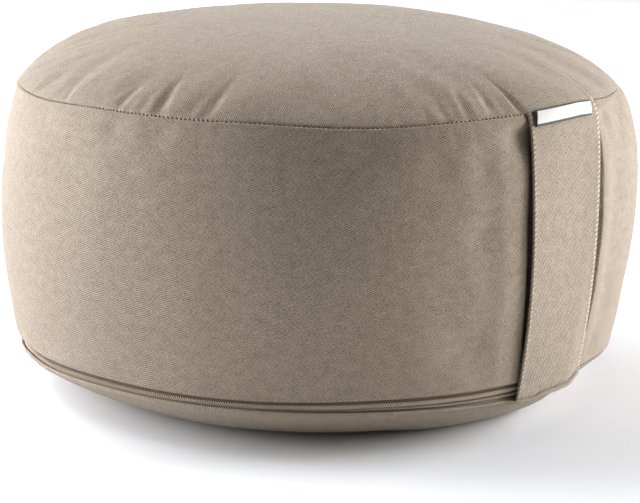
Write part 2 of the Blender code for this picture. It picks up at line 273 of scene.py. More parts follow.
# The top seam in section, in millimetres out from the seam's line and down along the cloth.
# It is drawn tight, except in front, where the crown rolls over and the wall's fold stands out.
TOP_SEAM = np.array((
    # tight out and down, gaping out and down
    (0.04, -1.80, 0.16, -2.00),
    (0.05, -1.20, 0.14, -1.40),
    (0.02, -0.70, 0.02, -0.90),
    (-0.16, -0.32, -0.28, -0.50),
    (-0.50, -0.14, -0.80, -0.26),
    (-1.00, 0.00, -1.50, -0.04),
    (-0.50, 0.12, -0.72, 0.04),
    (-0.06, 0.24, -0.04, 0.12),
    (0.20, 0.55, 0.38, 0.46),
    (0.28, 1.00, 0.60, 0.95),
    (0.18, 1.70, 0.42, 1.75),
))
GAPE_MIDDLE = -41.5
GAPE_FLAT = 15.0
GAPE_FADE = 9.0

# The lower seam in section, in millimetres: the zip's recess between the wall's stitched fold and
# the base panel's edge, and the plain seam. The last columns say how far a point goes with the
# base panel's edge where the recess widens, and with the lip over the strap's foot.
LOWER_SEAM = np.array((
    # recess out and down, plain seam out and down, with the edge, with the lip
    (0.20, -5.60, 0.05, -0.60, 0.0, 0.0),
    (0.26, -5.10, 0.08, 0.20, 0.0, 0.0),
    (0.00, -4.76, 0.11, 0.90, 0.0, 0.0),
    (-1.50, -4.60, 0.10, 1.50, 0.0, 0.0),
    (-1.70, -3.95, -0.05, 1.95, 0.0, 0.0),
    (-1.60, -3.20, -0.35, 2.15, 0.0, 0.0),
    (-2.10, -3.00, -1.00, 2.22, 0.0, 0.0),
    (-3.40, -3.20, -1.90, 2.27, 0.0, 0.0),
    (-3.40, 2.40, -1.90, 2.35, 0.35, 0.0),
    (-1.05, 2.35, -1.00, 2.42, 0.6, 1.0),
    (-0.72, 0.75, -0.35, 2.50, 1.0, 1.0),
    (-0.08, 0.42, 0.05, 2.80, 1.0, 1.0),
    (0.18, 1.05, 0.15, 3.50, 1.0, 1.0),
))
LOWER_SEAM_WALL_ROWS = 8
EDGE_DROP = 0.0040
EDGE_DROP_FROM = -62.0
EDGE_DROP_TO = -5.0
EDGE_DROP_END = 20.0
EDGE_DROP_BEND = 1.3
EDGE_DROP_PLAIN = 0.33
EDGE_DROP_REACH = 6
RECESS_FADE = 2.5


def place(bearing, point):
    """World positions of profile points on bearings."""
    position = direction(bearing) * point[..., :1]
    position[..., 2] = point[..., 1]
    return position


def ease(share):
    """Smooth step from 0 to 1."""
    share = np.clip(share, 0.0, 1.0)
    return share * share * (3.0 - 2.0 * share)


def between(first, second, share):
    """The value a share of the way from the first to the second."""
    return first + (second - first) * share


def bearing_gap(first, second):
    """Smallest turn from the second bearing to the first, in degrees."""
    half_turn = FULL_TURN / 2.0
    return (first - second + half_turn) % FULL_TURN - half_turn


def window(bearing, middle, flat, fade):
    """1 within `flat` degrees of a middle bearing, easing to 0 over `fade` degrees."""
    return 1.0 - ease((np.abs(bearing_gap(bearing, middle)) - flat) / fade)


def uneven(bearing, column):
    """One column of UNEVEN, eased between its rows all the way round, in metres."""
    turned = (bearing - UNEVEN[0, 0]) % FULL_TURN + UNEVEN[0, 0]
    after = np.clip(np.searchsorted(UNEVEN[:, 0], turned), 1, len(UNEVEN) - 1)
    start, end = UNEVEN[after - 1, 0], UNEVEN[after, 0]
    low, high = UNEVEN[after - 1, column], UNEVEN[after, column]
    return between(low, high, ease((turned - start) / (end - start))) * MM


def pair(first, second):
    """Profile points from their distances and heights."""
    return np.stack(np.broadcast_arrays(first, second), axis=-1)


def top_seam_line(bearing):
    """Profile points on the line of the top seam."""
    radius = TOP_SEAM_RADIUS + uneven(bearing, TOP_RADIUS)
    return pair(radius, TOP_SEAM_HEIGHT + uneven(bearing, TOP_HEIGHT))


def base_seam_line(bearing):
    """Profile points on the middle line of the zip's recess."""
    radius = BASE_SEAM_RADIUS + uneven(bearing, BASE_RADIUS)
    return pair(radius, BASE_SEAM_HEIGHT + uneven(bearing, BASE_HEIGHT))


def seam_axes(tilt):
    """Outward normal of the cloth at a seam, and the way down along the cloth."""
    angle = np.radians(tilt)
    return pair(np.cos(angle), np.sin(angle)), pair(np.sin(angle), -np.cos(angle))


TOP_OUT, TOP_DOWN = seam_axes(TOP_SEAM_TILT)
BASE_OUT, BASE_DOWN = seam_axes(BASE_SEAM_TILT)


def moved(point, way, distance):
    """Points moved by their own distances one way."""
    return point + way * distance[..., None]


def trough(arc, share, left, right, depth):
    """Depth of one pucker: a trough between two low shoulders, which narrows as it runs inwards."""
    narrowed = 1.0 - PUCKER_TAPER * np.clip(share, 0.0, 1.0)
    across = np.where(arc < 0.0, arc / left, arc / right) / narrowed
    shoulder = np.exp(-(((np.abs(across) - SHOULDER_OUT) / SHOULDER_SPREAD) ** 2))
    rising = ease(PUCKER_START + (1.0 - PUCKER_START) * share / PUCKER_PEAK)
    falling = 1.0 - np.clip((share - PUCKER_PEAK) / (1.0 - PUCKER_PEAK), 0.0, 1.0)
    along = np.minimum(rising, falling ** PUCKER_FALL)
    return depth * (np.exp(-(across ** 2)) - SHOULDER * shoulder) * along


def pucker_depth(bearing, inward):
    """How deep the puckers press in at distances inwards from the top seam."""
    total = 0.0
    for seam_bearing, inner_bearing, length, left, right, depth in PUCKERS:
        share = inward / (length * MM)
        middle = between(seam_bearing, inner_bearing, share)
        arc = np.radians(bearing_gap(bearing, middle)) * (TOP_SEAM_RADIUS - inward)
        total += trough(arc, share, left * MM, right * MM, depth * MM)
    return total


def gather_depth(bearing, away, seed):
    """How deep the fine gathers of one side of a seam press in, at distances from it."""
    draw = np.random.default_rng(seed)
    stray = draw.uniform(-GATHER_STRAY, GATHER_STRAY, GATHERS)
    total = 0.0
    for middle in np.arange(GATHERS) * FULL_TURN / GATHERS + stray:
        length = draw.uniform(*GATHER_LENGTH) * MM
        half_width = draw.uniform(*GATHER_WIDTH) * MM
        depth = draw.uniform(*GATHER_DEPTH) * MM
        arc = np.radians(bearing_gap(bearing, middle)) * TOP_SEAM_RADIUS
        near = np.exp(-((away / length) ** 2))
        total += depth * np.exp(-((arc / half_width) ** 2)) * near
    return total


def swell(bearing, point, seed):
    """Slow, shallow rise and fall of the filled surface from place to place."""
    draw = np.random.default_rng(seed)
    spot = place(bearing, point)
    total = 0.0
    for _ in range(SWELL_WAVES):
        heading = draw.normal(size=3)
        heading *= 2.0 * math.pi / draw.uniform(*SWELL_LENGTH) / np.linalg.norm(heading)
        total += np.sin(spot @ heading + draw.uniform(0.0, 2.0 * math.pi))
    return SWELL * total / math.sqrt(SWELL_WAVES / 2.0)


def bowed(share):
    """0 at either seam and 1 half way down the wall."""
    return np.sin(math.pi * np.clip(share, 0.0, 1.0)) ** STRAP_BOW


def strap_middle(share):
    """Bearing of the strap's middle line, from the top seam down to the foot."""
    top_skew = STRAP_TOP_SKEW * (1.0 - share) ** STRAP_TOP_BEND
    foot_skew = STRAP_FOOT_SKEW * share ** STRAP_FOOT_BEND
    return top_skew + foot_skew - STRAP_SWAY * bowed(share)


def at_strap_top(bearing):
    """1 where the strap goes into the top seam, easing to 0 beside it."""
    return window(bearing, STRAP_TOP_SKEW, TOP_LIP_FLAT, TOP_LIP_FADE)


def foot_lip(bearing):
    """How far the cloth stands out over the strap's foot."""
    return STRAP_FOOT_LIP * window(bearing, STRAP_FOOT_SKEW, FOOT_LIP_FLAT, FOOT_LIP_FADE)


def strap_dent(bearing, share):
    """How far the wall is pressed in behind the strap, and pushed out in a ridge beside it."""
    turn = bearing_gap(bearing, strap_middle(share))
    left = ease((turn + DENT_LEFT) / DENT_LEFT_FADE)
    right = ease((DENT_RIGHT - turn) / DENT_RIGHT_FADE)
    ridge = np.exp(-(((turn - RIDGE_AT) / RIDGE_WIDTH) ** 2))
    return (WALL_DENT * left * right - RIDGE * ridge) * bowed(share)


def crown_rows(bearing, share):
    """Profile points of the top panel, 0 at its centre and 1 at the top seam."""
    seam = top_seam_line(bearing)
    rise = CROWN_RISE * (1.0 - share ** CROWN_ROUND) ** CROWN_SHOULDER
    height = TOP_SEAM_HEIGHT + uneven(bearing, TOP_HEIGHT) * share ** UNEVEN_INWARD + rise
    lip = STRAP_TOP_LIP * at_strap_top(bearing) * share ** LIP_REACH
    point = moved(pair(seam[..., 0] * share, height), TOP_OUT, lip)
    inward = TOP_SEAM_RADIUS * (1.0 - share)
    pressed = pucker_depth(bearing, inward) + gather_depth(bearing, inward, CROWN_GATHERS)
    pressed += swell(bearing, point, CROWN_SWELLS) * ease(inward / SWELL_FROM_SEAM)
    return moved(point, PUCKER_PUSH, pressed)


def plain_wall(bearing, share):
    """Profile points of the bulging wall, before the strap presses it, from seam to seam."""
    lean = np.cos(np.radians(bearing - BELLY_LEAN_BEARING))
    turned = np.clip(share, 0.0, 1.0) ** (math.log(0.5) / np.log(BELLY_LEVEL - BELLY_LEAN * lean))
    top, base = top_seam_line(bearing), base_seam_line(bearing)
    bulge = BELLY_RADIUS + uneven(bearing, BELLY) - (top[..., 0] + base[..., 0]) / 2.0
    point = between(top, base, share[..., None])
    point[..., 0] += bulge * (1.0 - np.abs(2.0 * turned - 1.0) ** BELLY_ROUND)
    return point


def wall_rows(bearing, share):
    """Profile points of the wall band, with the dent behind the strap."""
    sink = STRAP_TOP_SINK * at_strap_top(bearing) * (1.0 - share) ** LIP_REACH
    point = moved(plain_wall(bearing, share), -TOP_OUT, sink)
    drop = TOP_SEAM_HEIGHT - BASE_SEAM_HEIGHT
    pressed = gather_depth(bearing, drop * share, WALL_TOP_GATHERS)
    pressed += gather_depth(bearing, drop * (1.0 - share), WALL_FOOT_GATHERS)
    pressed += swell(bearing, point, WALL_SWELLS) * bowed(share)
    low_enough = np.exp(-(((share - DIP_SHARE) / DIP_DROP) ** 2))
    low_enough *= ease((share - DIP_START) / DIP_RISE)
    for middle, half_width, depth in DIPS:
        beside = np.exp(-((bearing_gap(bearing, middle) / half_width) ** 2))
        pressed += depth * MM * beside * low_enough
    point[..., 0] -= strap_dent(bearing, share) + pressed
    return point


def zip_share(bearing):
    """1 along the zip, easing to 0 just past its ends."""
    half = (ZIP_END - ZIP_START) / 2.0
    return window(bearing, (ZIP_START + ZIP_END) / 2.0, half, RECESS_FADE)


def edge_drop(bearing):
    """How far the base panel's edge hangs down where the recess widens towards the strap."""
    towards = (bearing - EDGE_DROP_FROM) / (EDGE_DROP_TO - EDGE_DROP_FROM)
    past = (bearing - ZIP_END) / (EDGE_DROP_END - ZIP_END)
    drop = EDGE_DROP * np.clip(towards, 0.0, 1.0) ** EDGE_DROP_BEND * (1.0 - ease(past))
    return drop * between(EDGE_DROP_PLAIN, 1.0, zip_share(bearing))


def base_rows(bearing, share):
    """Profile points of the base panel, from the lower seam to the floor disc's rim."""
    edge = base_seam_line(bearing) + BASE_DOWN * ZIP_MOUTH / 2.0
    angle = share * math.pi / 2.0
    disc = FLOOR_DISC_RADIUS + uneven(bearing, FLOOR)
    radius = between(disc, edge[..., 0], np.cos(angle))
    height = edge[..., 1] * (1.0 - np.sin(angle) ** BASE_ROUND)
    point = moved(pair(radius, height), BASE_OUT, foot_lip(bearing) * (1.0 - share) ** LIP_REACH)
    point = moved(point, BASE_DOWN, edge_drop(bearing) * (1.0 - share) ** EDGE_DROP_REACH)
    away = (edge[..., 0] - disc) * share
    point[..., 0] -= gather_depth(bearing, away, BASE_GATHERS) * (1.0 - share)
    return point


def top_seam_rows(bearing):
    """Profile points across the top seam, from the crown's rolled edge to the wall's."""
    line = top_seam_line(bearing)
    gape = window(bearing, GAPE_MIDDLE, GAPE_FLAT, GAPE_FADE)
    pressed = pucker_depth(bearing, 0.0) + gather_depth(bearing, 0.0, CROWN_GATHERS)
    middle = len(TOP_SEAM) // 2
    rows = []
    for index, (out, along, gape_out, gape_along) in enumerate(TOP_SEAM):
        crown_side, wall_side = index < middle, index > middle
        lip = STRAP_TOP_LIP * crown_side - STRAP_TOP_SINK * wall_side
        lift = between(out, gape_out, gape) * MM + lip * at_strap_top(bearing)
        row = moved(line, TOP_OUT, lift)
        row = moved(row, TOP_DOWN, between(along, gape_along, gape) * MM)
        rows.append(moved(row, PUCKER_PUSH, pressed * crown_side))
    return rows


def lower_seam_rows(bearing):
    """Profile points across the lower seam, where the zip's recess closes at both ends."""
    line = base_seam_line(bearing)
    zipped = zip_share(bearing)
    rows = []
    for out, along, plain_out, plain_along, with_edge, with_lip in LOWER_SEAM:
        lift = between(plain_out, out, zipped) * MM + foot_lip(bearing) * with_lip
        shift = between(plain_along, along, zipped) * MM
        shift += edge_drop(bearing) * (1.0 - zipped + with_edge * zipped)
        rows.append(moved(moved(line, BASE_OUT, lift), BASE_DOWN, shift))
    return rows


def quad_mesh(name, points, weave, panel_of=None, poles=False):
    """Mesh over rows of points that close round, with the weave's own coordinates in metres.

    `weave` holds one array of coordinates for each panel, with a last column for the closing
    strip, and `panel_of` tells which panel each strip between two rows belongs to. With poles,
    the first and last rows close to a middle point; without, each closes with one flat face.
    """
    rows, columns = points.shape[:2]
    if panel_of is None:
        panel_of = [0] * rows
    verts = points.reshape(-1, 3)
    faces, corners = [], []
    for row in range(rows - 1):
        cloth = weave[panel_of[row]]
        for column in range(columns):
            after = (column + 1) % columns
            low, high = row * columns, (row + 1) * columns
            faces.append((low + column, high + column, high + after, low + after))
            corners += [cloth[row, column], cloth[row + 1, column]]
            corners += [cloth[row + 1, column + 1], cloth[row, column + 1]]
    for row, cloth, order in ((0, weave[panel_of[0]], 1), (rows - 1, weave[panel_of[-1]], -1)):
        ring = [row * columns + column for column in range(columns)]
        caps = [(ring, list(cloth[row, :columns]))]
        if poles:
            middle, centre = len(verts), np.zeros(2)
            verts = np.vstack([verts, points[row].mean(axis=0)])
            caps = [
                ([ring[column], ring[(column + 1) % columns], middle],
                 [cloth[row, column], cloth[row, column + 1], centre])
                for column in range(columns)
            ]
        for cap, cap_corners in caps:
            faces.append(tuple(cap[::order]))
            corners += cap_corners[::order]
    mesh = bpy.data.meshes.new(name)
    mesh.from_pydata(verts.tolist(), [], faces)
    layer = mesh.uv_layers.new(name="weave")
    layer.data.foreach_set("uv", np.array(corners, np.float32).ravel())
    mesh.shade_smooth()
    piece = bpy.data.objects.new(name, mesh)
    bpy.context.scene.collection.objects.link(piece)
    return piece


def run_along(points):
    """Distance along each column of points from its first row."""
    steps = np.linalg.norm(np.diff(points, axis=0), axis=-1)
    return np.vstack([np.zeros(points.shape[1]), np.cumsum(steps, axis=0)])


# The pressure of the filling, worked out as cloth on a coarser net of the same shape. The net is
# held at its seams, under the strap and below, and has a little cloth to spare. What it does is
# kept as so many waves from seam to seam and so many round, except beside the strap.
NET_COLUMNS = 150
NET_CROWN_ROWS = 18
NET_WALL_ROWS = 15
NET_BASE_ROWS = 5
NET_PRESSURE = 4.0
NET_SPARE_CLOTH = 0.015
NET_STEPS = 20
NET_CAP = 0.003
NET_CROWN_KEPT = 0.45
NET_WALL_KEPT = 0.7
NET_WAVES = 11
NET_TURNS = 48
NET_STRAP = (0.5, 13.0, 6.0)  # the bearing, flat and fade of a window


def blown(points, held):
    """Where the points of a closed net come to rest under the pressure of the filling."""
    rows, columns = points.shape[:2]
    bare = np.zeros((rows, columns + 1, 2))
    net = quad_mesh("net", points, [bare], poles=True)
    group = net.vertex_groups.new(name="held")
    group.add([*np.flatnonzero(held).tolist(), rows * columns + 1], 1.0, "REPLACE")
    cloth = net.modifiers.new("cloth", "CLOTH").settings
    cloth.vertex_group_mass = "held"
    cloth.use_pressure = True
    cloth.uniform_pressure_force = NET_PRESSURE
    cloth.shrink_min = -NET_SPARE_CLOTH
    cloth.effector_weights.gravity = 0.0
    for step in range(1, NET_STEPS + 1):
        bpy.context.scene.frame_set(step)
    shown = net.evaluated_get(bpy.context.evaluated_depsgraph_get())
    moved = np.empty(3 * len(net.data.vertices), np.float32)
    shown.data.vertices.foreach_get("co", moved)
    bpy.data.meshes.remove(net.data)
    bpy.context.scene.frame_set(1)
    return moved.reshape(-1, 3)[: rows * columns].reshape(points.shape)


def laid_over(shift, shares, turns, new_shares, new_turns):
    """A shift known on one net as a smooth surface over another, with none of it at the seams."""
    waves = math.pi * np.arange(1, NET_WAVES + 1)
    around = np.arange(NET_TURNS + 1)
    nets = []
    for rows, columns in ((shares, turns), (new_shares, new_turns)):
        angle = np.radians(columns) * around[:, None]
        nets.append((np.sin(rows[:, None] * waves), np.vstack([np.cos(angle), np.sin(angle[1:])])))
    (old_down, old_round), (new_down, new_round) = nets
    fitted = np.linalg.pinv(old_down) @ shift @ np.linalg.pinv(old_round)
    return new_down @ fitted @ new_round


# The cover's own mesh, whose columns stand closer together at the puckers and at the strap's
# edges, and whose rows stand closer together towards the seams.
COLUMNS = 690
CROWD = 2.6
CROWD_SPREAD = 2.4
CROWD_STRAP = 9.5
CROWD_STEPS = 7201
CROWN_ROWS = 50
CROWN_LAST = 0.9830
CROWN_CROWDING = 1.6
WALL_ROWS = 46
WALL_FIRST = 0.018
WALL_LAST = 0.953
BASE_ROWS = 16
BASE_FIRST = 0.05
DISC_ROWS = 6

fine_steps = np.linspace(-FULL_TURN / 2.0, FULL_TURN / 2.0, CROWD_STEPS)
crowd_at = [pucker[0] for pucker in PUCKERS]
crowd_at += [STRAP_TOP_SKEW - CROWD_STRAP, STRAP_TOP_SKEW + CROWD_STRAP]
crowding = sum(
    np.exp(-(bearing_gap(fine_steps, middle) / CROWD_SPREAD) ** 2) for middle in crowd_at
)
crowding = np.cumsum(1.0 + CROWD * np.minimum(crowding, 1.0))
column_steps = np.linspace(crowding[0], crowding[-1], COLUMNS + 1)[:-1]
bearings = np.interp(column_steps, crowding, fine_steps)
crown_steps = np.arange(1, CROWN_ROWS + 1) / CROWN_ROWS
crown_shares = CROWN_LAST * (1.0 - (1.0 - crown_steps) ** CROWN_CROWDING)
wall_steps = np.linspace(0.0, 1.0, WALL_ROWS)
wall_steps = (wall_steps + ease(wall_steps)) / 2.0
wall_shares = between(WALL_FIRST, WALL_LAST, wall_steps)
base_shares = np.linspace(BASE_FIRST, 1.0, BASE_ROWS)
disc_shares = np.arange(DISC_ROWS - 1, 0, -1) / DISC_ROWS
crown = crown_rows(bearings, crown_shares[:, None])
wall = wall_rows(bearings, wall_shares[:, None])
base = base_rows(bearings, base_shares[:, None])
net_bearings = np.arange(NET_COLUMNS) * FULL_TURN / NET_COLUMNS - FULL_TURN / 2.0
net_crown, net_wall, net_base = (
    np.arange(1, count + 1) / count for count in (NET_CROWN_ROWS, NET_WALL_ROWS, NET_BASE_ROWS)
)
net_profile = np.concatenate([
    crown_rows(net_bearings, net_crown[:, None]),
    wall_rows(net_bearings, net_wall[:, None]),
    base_rows(net_bearings, net_base[:, None]),
])
net_points = place(net_bearings, net_profile)
held = np.zeros(net_points.shape[:2], bool)
held[NET_CROWN_ROWS - 1] = True
held[NET_CROWN_ROWS:, window(net_bearings, *NET_STRAP) > 0.5] = True
held[NET_CROWN_ROWS + NET_WALL_ROWS - 1:] = True
net_shift = blown(net_points, held) - net_points
shift_out = (net_shift * direction(net_bearings)).sum(axis=-1)
net_shift = np.stack([shift_out, net_shift[..., 2]])
net_shift -= net_shift.mean(axis=-1, keepdims=True)
net_shift = np.clip(net_shift, -NET_CAP, NET_CAP)
away = 1.0 - window(bearings, *NET_STRAP)
crown_shift = net_shift[:, :NET_CROWN_ROWS]
wall_shift = net_shift[:, NET_CROWN_ROWS:NET_CROWN_ROWS + NET_WALL_ROWS]
crown_shift = laid_over(crown_shift, net_crown, net_bearings, crown_shares, bearings)
wall_shift = laid_over(wall_shift, net_wall, net_bearings, wall_shares, bearings)
crown = crown + NET_CROWN_KEPT * np.moveaxis(crown_shift, 0, -1)
wall = wall + NET_WALL_KEPT * np.moveaxis(wall_shift * away, 0, -1)
disc = base[-1] * pair(disc_shares, 1.0)[:, None, :]
top_seam = np.stack(top_seam_rows(bearings))
lower_seam = np.stack(lower_seam_rows(bearings))
profile = np.concatenate([crown, top_seam, wall, lower_seam, base, disc])
cover_points = place(bearings, profile)

top_rows = len(crown) + len(top_seam) // 2
wall_end = len(crown) + len(top_seam) + len(wall) + LOWER_SEAM_WALL_ROWS
round_bearings = np.append(bearings, FULL_TURN / 2.0)
from_top = run_along(cover_points) + crown_shares[0] * TOP_SEAM_RADIUS
from_base = run_along(cover_points[::-1])[::-1] + disc_shares[-1] * FLOOR_DISC_RADIUS
from_top, from_base = (np.hstack([run, run[:, :1]]) for run in (from_top, from_base))
spokes = direction(round_bearings)[:, :2]
wall_grain = np.radians(round_bearings) * BELLY_RADIUS
wall_weave = pair(wall_grain, -from_top)
cover_weave = [spokes * from_top[..., None], wall_weave, spokes * from_base[..., None]]
strips = np.arange(len(profile) - 1)
panel_of = np.where(strips < top_rows, 0, np.where(strips < wall_end, 1, 2))
cover = quad_mesh("cover", cover_points, cover_weave, panel_of, poles=True)


class Wire:
    """A shader value that can be used in ordinary sums."""

    def __init__(self, tree, socket=None):
        self.tree = tree
        self.socket = socket

    def node(self, kind, inputs=None, output=0, **settings):
        """Add a node: its settings first, then its inputs by name or number."""
        made = self.tree.nodes.new("ShaderNode" + kind)
        for setting, value in settings.items():
            setattr(made, setting, value)
        for key, value in (inputs or {}).items():
            if isinstance(value, Wire):
                self.tree.links.new(value.socket, made.inputs[key])
            else:
                made.inputs[key].default_value = value
        return Wire(self.tree, made.outputs[output])

    def of(self, operation, *others):
        """Any other Math operation, with this value first."""
        return self.node("Math", dict(enumerate((self, *others))), operation=operation)

    def blend(self, first, second):
        """The first colour where this value is 0, and the second where it is 1."""
        colours = {0: self, 6: first, 7: second}
        return self.node("Mix", colours, output=2, data_type="RGBA")

    def shifted(self, other, scale):
        """This vector with another vector added, scaled."""
        inputs = {0: other, 1: (scale, scale, scale), 2: self}
        return self.node("VectorMath", inputs, operation="MULTIPLY_ADD")

    def parts(self):
        """The first two parts of this vector."""
        return [self.node("SeparateXYZ", {0: self}, output=axis) for axis in (0, 1)]

    def noise(self, scale, detail=0.0, output=0):
        """Noise over this place, with `scale` lumps in a metre along each of its axes."""
        spread = self.node("Mapping", {"Vector": self, "Scale": scale})
        inputs = {"Vector": spread, "Scale": 1.0, "Detail": detail}
        return self.node("TexNoise", inputs, output=output)

    def __add__(self, other):
        return self.of("ADD", other)

    def __sub__(self, other):
        return self.of("SUBTRACT", other)

    def __rsub__(self, other):
        return self.node("Math", {0: other, 1: self}, operation="SUBTRACT")

    def __mul__(self, other):
        return self.of("MULTIPLY", other)

    def __truediv__(self, other):
        return self.of("DIVIDE", other)

    def __rtruediv__(self, other):
        return self.node("Math", {0: other, 1: self}, operation="DIVIDE")

    __radd__ = __add__
    __rmul__ = __mul__


SHEEN_ROUGHNESS = 0.45
SPECULAR = 0.2


def new_material(name, roughness, sheen):
    """An empty material: its shader node, and a Wire to start its sums from."""
    made = bpy.data.materials.new(name)
    made.use_nodes = True
    shader = made.node_tree.nodes["Principled BSDF"]
    shader.inputs["Roughness"].default_value = roughness
    shader.inputs["Sheen Weight"].default_value = sheen
    shader.inputs["Sheen Roughness"].default_value = SHEEN_ROUGHNESS
    shader.inputs["Specular IOR Level"].default_value = SPECULAR
    return made, shader, Wire(made.node_tree)


def feed(shader, name, value):
    """Link a value to one of the shader's inputs."""
    value.tree.links.new(value.socket, shader.inputs[name])


# The twill's yarns: their pitches, how far they wander, and how round and how deep they are.
WARP_PITCH = 0.00026
WEFT_PITCH = 0.00059
TWILL_REPEAT = 4.0
FLOAT_SHARE = 0.75
FLOAT_ROUND = 0.6
WEFT_HEIGHT = 0.35
YARN_WANDER = 0.0006
YARN_DEPTH = 0.00014

# Its heather: lumps in a metre along and across the warp, and how much each tells in the colour.
WANDER_LUMPS = (200.0, 200.0, 1.0)
WARP_LUMPS = (800.0, 3800.0, 1.0)
WARP_TONE = 0.65
WEFT_LUMPS = (1700.0, 800.0, 1.0)
WEFT_TONE = 0.4
CLOUD_LUMPS = (190.0, 230.0, 1.0)
CLOUD_TONE = 0.3
YARN_TONE = 0.8
YARN_RELIEF = 0.3
# Painted shade of the weave: how much darker its hollows are painted than its raised yarns.
RELIEF_SHADE = 0.56
BASE_TONE = 0.10
CLOTH_ROUGHNESS = 0.9
CLOTH_SHEEN = 0.10
CLOTH_DARK = (0.082, 0.056, 0.031, 1.0)
CLOTH_LIGHT = (0.660, 0.550, 0.428, 1.0)

# Its pressed folds: a painted highlight along slanting strands, with painted shade between them.
FOLD_WIDTH = 0.0017
FOLD_HIGHLIGHT = 1.00
FOLD_SHADE = 0.22
ROPE_PITCH = 0.00235
ROPE_SLANT = 0.0045


def twill(name, dark, light, folds=()):
    """Heathered three-over-one cotton twill, on the cloth's own coordinates in metres.

    The warp runs along the first coordinate. Each warp yarn passes over three wefts and under
    one, and the next yarn does so one weft further on, so the ribs climb at a low slant.
    """
    made, shader, start = new_material(name, CLOTH_ROUGHNESS, CLOTH_SHEEN)
    cloth = start.node("UVMap", uv_map="weave")
    wander = cloth.noise(WANDER_LUMPS, 1.0, output=1)
    along, across = cloth.shifted(wander, YARN_WANDER).parts()
    warp = across / WARP_PITCH
    weft = along / WEFT_PITCH
    step = (weft - warp.of("FLOOR")) / TWILL_REPEAT
    warp_round = (warp * math.pi).of("SINE").of("ABSOLUTE")
    weft_round = (weft * math.pi).of("SINE").of("ABSOLUTE")
    over = (step.of("FRACT") * (math.pi / FLOAT_SHARE)).of("SINE").of("MAXIMUM", 0.0)
    over = over.of("POWER", FLOAT_ROUND)
    surface = (warp_round * 0.5 + 0.5) * over
    surface = surface.of("MAXIMUM", weft_round * WEFT_HEIGHT)
    warp_yarn = (cloth.noise(WARP_LUMPS) - 0.5) * WARP_TONE
    weft_yarn = (cloth.noise(WEFT_LUMPS) - 0.5) * WEFT_TONE
    cloud = (cloth.noise(CLOUD_LUMPS, 2.0) - 0.5) * CLOUD_TONE
    yarn = warp_yarn + weft_yarn + cloud
    # The weave's relief also goes into the colour, as painted shade: raised yarns lighter, hollows
    # darker.
    tone = yarn * YARN_TONE + surface * RELIEF_SHADE + BASE_TONE
    length, around = cloth.parts()
    strand = (length / ROPE_PITCH + around / ROPE_SLANT) * (2.0 * math.pi)
    strand = strand.of("SINE") * 0.5 + 0.5
    # Painted highlight on the strands of each rolled fold, and painted shade between them.
    for fold in folds:
        near = (around - fold).of("ABSOLUTE") / FOLD_WIDTH
        near = (1.0 - near).of("MAXIMUM", 0.0)
        tone += near * (strand * FOLD_HIGHLIGHT - FOLD_SHADE)
    tone = tone.of("MAXIMUM", 0.0).of("MINIMUM", 1.0)
    feed(shader, "Base Color", tone.blend(dark, light))
    bump = {"Height": surface + yarn * YARN_RELIEF, "Distance": YARN_DEPTH, "Strength": 1.0}
    feed(shader, "Normal", start.node("Bump", bump))
    return made


cover.data.materials.append(twill("cotton_twill", CLOTH_DARK, CLOTH_LIGHT))
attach(cover, "root")
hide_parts("cushion")

# ---- Carry strap ----
# A wide band of the same twill, folded double so that its long edges are rolled folds. Its ends
# are caught in the top seam and in the lower seam, and between them it stands off the wall.
STRAP_WIDTH = 0.0526
STRAP_THICK = 0.0016
STRAP_MIDDLE_THICK = 0.0011
ROLL_REACH = 1.5
STRAP_ROWS = 380
STRAP_ACROSS = 24
EDGE_STEPS = 5

# How it stands off the wall, flatter than the wall behind it, and goes into its two seams.
CLEARANCE = 0.0003
STRAP_CLEAR = 0.0010
STRAP_CLEAR_AT_ENDS = 0.2
STRAP_STAND_OFF = 0.0001
STRAP_FLATTER = 0.0011
STRAP_TILT = 0.0006
STRAP_END = 0.014
STRAP_END_THINNER = 0.5
STRAP_SHORT = 0.0007
SEAM_MOUTH = 0.0018

# How deep the strands at its rolled edges are, and how they twist round them.
ROPE_DEPTH = 0.00018
ROPE_TWIST = 1.1
ROPE_REACH = 0.9


def strap_point(side, share, lift):
    """Points `side` metres from the strap's middle line and `lift` outside its inner face."""
    middle = strap_middle(share)
    turn = np.arcsin(side / TOP_SEAM_RADIUS)
    bearing = middle + np.degrees(turn)
    to_top = -TOP_OUT * (STRAP_TOP_SINK - CLEARANCE)
    drop = (ZIP_MOUTH - SEAM_MOUTH) / 2.0 - STRAP_SHORT + edge_drop(bearing)
    to_foot = moved(BASE_OUT * CLEARANCE, BASE_DOWN, drop)
    point = moved(plain_wall(bearing, share), to_top, (1.0 - share) ** LIP_REACH)
    point = moved(point, to_foot, share ** LIP_REACH)
    across = 2.0 * side / STRAP_WIDTH
    flatter = STRAP_FLATTER * across ** 2 - STRAP_TILT * across
    point[..., 0] += (STRAP_STAND_OFF + flatter) * bowed(share)
    outward, _ = seam_axes(between(TOP_SEAM_TILT, BASE_SEAM_TILT, share))
    clear = between(STRAP_CLEAR_AT_ENDS, 1.0, bowed(share))
    thinner = 1.0 - STRAP_END_THINNER * ease((share - 1.0 + STRAP_END) / STRAP_END)
    point = moved(point, outward, STRAP_CLEAR * clear + lift * thinner)
    flat = pair(point[..., 0] * np.cos(turn), point[..., 1])
    return place(middle, flat) + direction(middle + 90.0) * side[..., None]


def folded_section(width, thick, middle_thick, columns):
    """Section of a band with rolled edges: distances to the side and outwards, closed round."""
    half = width / 2.0 - thick / 2.0
    side = np.linspace(-half, half, columns)
    thin = (thick - middle_thick) * ease((half - np.abs(side)) / (ROLL_REACH * thick))
    turn = np.linspace(math.pi / 2.0, -math.pi / 2.0, EDGE_STEPS + 2)[1:-1]
    roll_side = half + np.cos(turn) * thick / 2.0
    roll_lift = thick / 2.0 + np.sin(turn) * thick / 2.0
    sides = np.concatenate([side, roll_side, side[::-1], -roll_side])
    lifts = np.concatenate([thick - thin, roll_lift, 0.0 * side, roll_lift[::-1]])
    return sides, lifts


